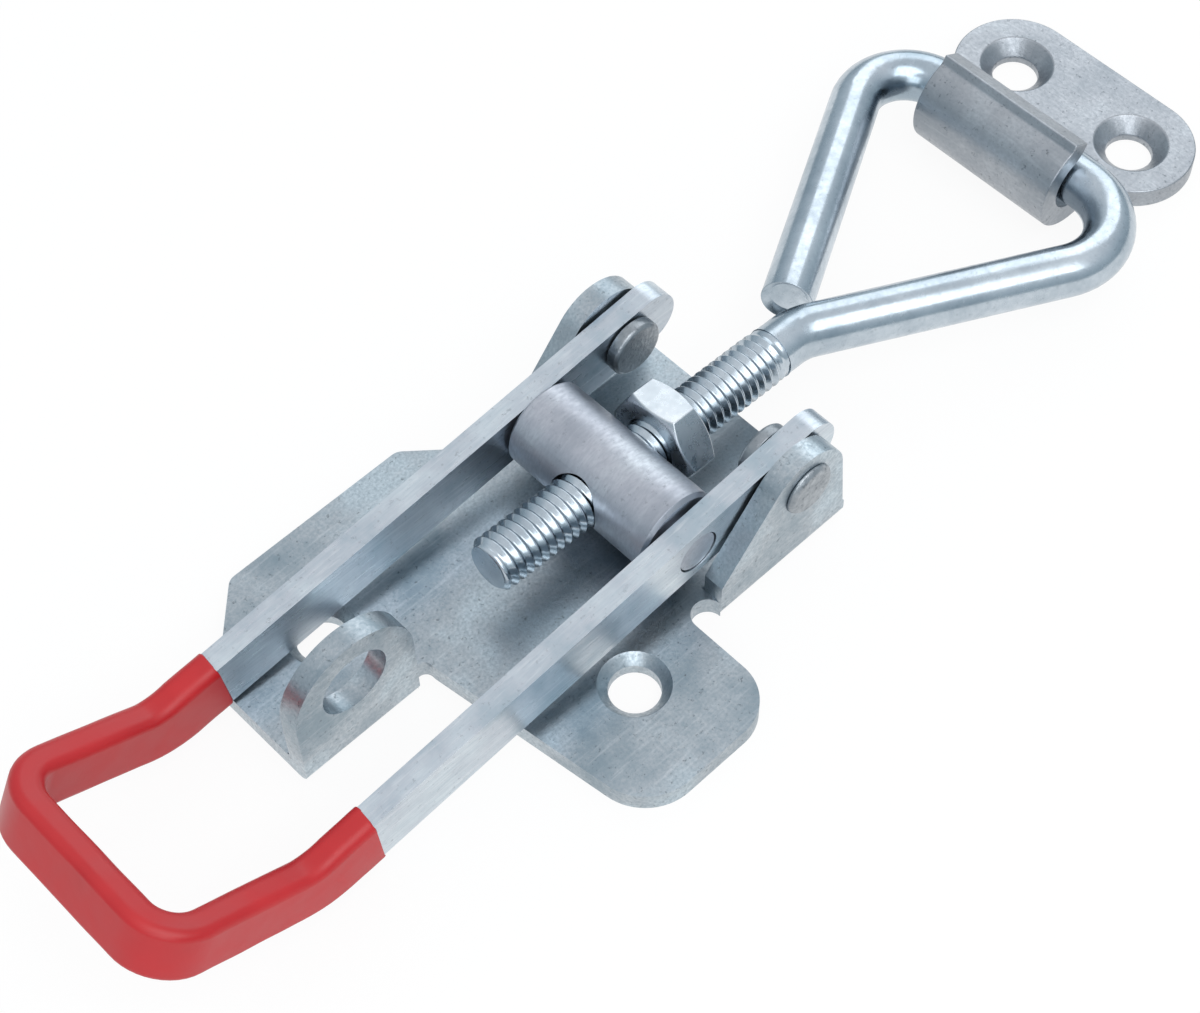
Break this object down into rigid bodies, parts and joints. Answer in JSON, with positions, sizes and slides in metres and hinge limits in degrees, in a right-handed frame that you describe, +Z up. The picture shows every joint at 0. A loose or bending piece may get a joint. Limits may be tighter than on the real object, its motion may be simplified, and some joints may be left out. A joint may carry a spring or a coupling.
{
  "type": "over centre toggle latch",
  "caption": "Over centre toggle latch: folded base with padlock ear, U-shaped lever with dipped grip, threaded draw bolt with closed link, and a curled keeper.",
  "frame": {"origin": "on the base plate's underside, straight below the pivot axis and midway between the two ears", "axes": "+X forward along the draw bolt to the keeper, +Y to the left, +Z up from the mounting surface"},
  "size_m": [0.1505, 0.0489, 0.0172],
  "materials": {
    "zinc_sheet": "satin",
    "zinc_rivet": "satin",
    "zinc_strip": "satin",
    "zinc_barrel": "satin",
    "zinc_rod": "semi-gloss",
    "zinc_nut": "semi-gloss",
    "zinc_keeper": "satin",
    "dipped_pvc": "semi-gloss"
  },
  "bodies": {
    "base": {"base_plate": "zinc_sheet", "rivet_left": "zinc_rivet", "rivet_right": "zinc_rivet"},
    "lever": {"lever": "zinc_strip", "grip": "dipped_pvc"},
    "trunnion": {"trunnion": "zinc_barrel"},
    "draw_bolt": {"draw_bolt": "zinc_rod"},
    "lock_nut": {"lock_nut": "zinc_nut"},
    "keeper": {"keeper": "zinc_keeper"}
  },
  "joints": [
    {"name": "lever_pivot", "type": "hinge", "parent": "base", "child": "lever", "pos_m": [0, 0, 0.0108], "axis": [0, 1, 0], "range_deg": [0, 150]},
    {"name": "trunnion_pivot", "type": "hinge", "parent": "lever", "child": "trunnion", "pos_m": [-0.0124, 0, 0.00971], "axis": [0, 1, 0], "range_deg": [-150, 0]},
    {"name": "bolt_adjust", "type": "slide", "parent": "trunnion", "child": "draw_bolt", "axis": [0.9984, 0, -0.0569], "range_m": [0, 0.01]},
    {"name": "nut_run", "type": "slide", "parent": "draw_bolt", "child": "lock_nut", "axis": [0.9984, 0, -0.0569], "range_m": [0, 0.0134]},
    {"name": "keeper_hinge", "type": "hinge", "parent": "draw_bolt", "child": "keeper", "pos_m": [0.0528, 0, 0.006], "axis": [0, 1, 0], "range_deg": [-100, 90]}
  ],
  "couplings": [
    {"joint": "trunnion_pivot", "follows": "lever_pivot", "ratio": -1}
  ]
}
